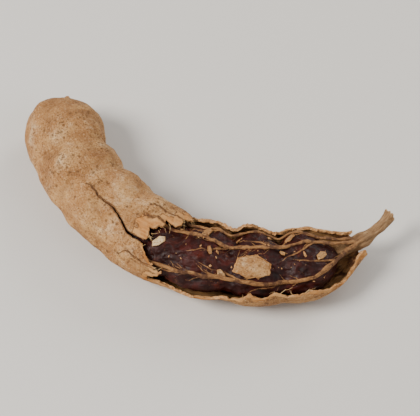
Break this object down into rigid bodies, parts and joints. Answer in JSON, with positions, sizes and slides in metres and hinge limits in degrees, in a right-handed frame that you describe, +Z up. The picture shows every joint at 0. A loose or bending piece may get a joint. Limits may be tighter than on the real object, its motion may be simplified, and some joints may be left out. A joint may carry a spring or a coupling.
{
  "type": "tamarind pod",
  "caption": "Ripe tamarind pod lying on its broad side, its brittle brown shell broken open to show the dark sticky pulp and the strings that hold it.",
  "frame": {"origin": "on the surface that the pod lies on, under the middle of its bounding box", "axes": "+X along the pod's longest extent, towards the stalk; +Y towards the hollow side of its curve; +Z up, through its thickness, towards the broken opening"},
  "size_m": [0.1102, 0.0554, 0.0188],
  "materials": {
    "shell": "dry matt husk, light brown with darker scurf and fine dark specks",
    "pulp": "dark red-brown, sticky and wrinkled, with a soft gloss",
    "strings": "matt tan fibre"
  },
  "bodies": {
    "root": {"shell": "shell", "shell_chip": "shell", "pulp": "pulp", "stalk_and_strings": "strings"}
  },
  "joints": []
}
